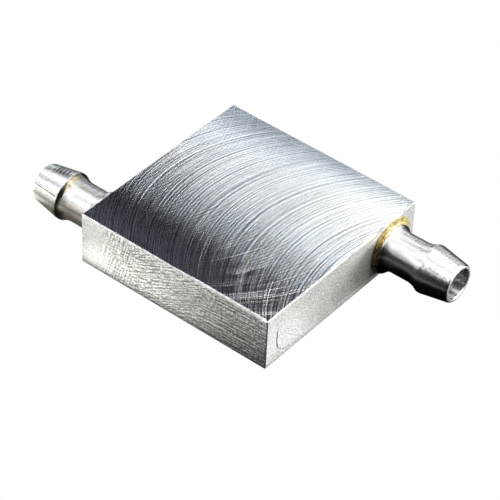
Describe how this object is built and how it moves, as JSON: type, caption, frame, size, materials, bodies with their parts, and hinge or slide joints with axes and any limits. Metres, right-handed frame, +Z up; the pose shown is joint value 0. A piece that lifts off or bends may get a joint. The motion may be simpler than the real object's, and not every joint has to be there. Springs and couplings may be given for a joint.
{
  "type": "liquid cooling cold plate",
  "caption": "Flat square aluminium cold plate with an internal serpentine channel, flush end plugs and straight hose barbs at opposite corners for coolant in and out.",
  "frame": {"origin": "centre of the underside of the block", "axes": "+X along the lanes and out of the right-hand barb, +Z up, out of the cooling face"},
  "size_m": [0.069, 0.04, 0.0108],
  "materials": {
    "block": "top sanded in wide arcs, sides rough ground",
    "plug": "ground flush with the block's ends",
    "barb": "bright, turned",
    "sealant": "amber cured sealant, slightly glossy"
  },
  "bodies": {
    "root": {"channel_body": "block", "end_plug_right": "plug", "end_plug_left": "plug", "hose_barb_right": "barb", "hose_barb_left": "barb", "sealant_bead_right": "sealant", "sealant_bead_left": "sealant"}
  },
  "joints": []
}
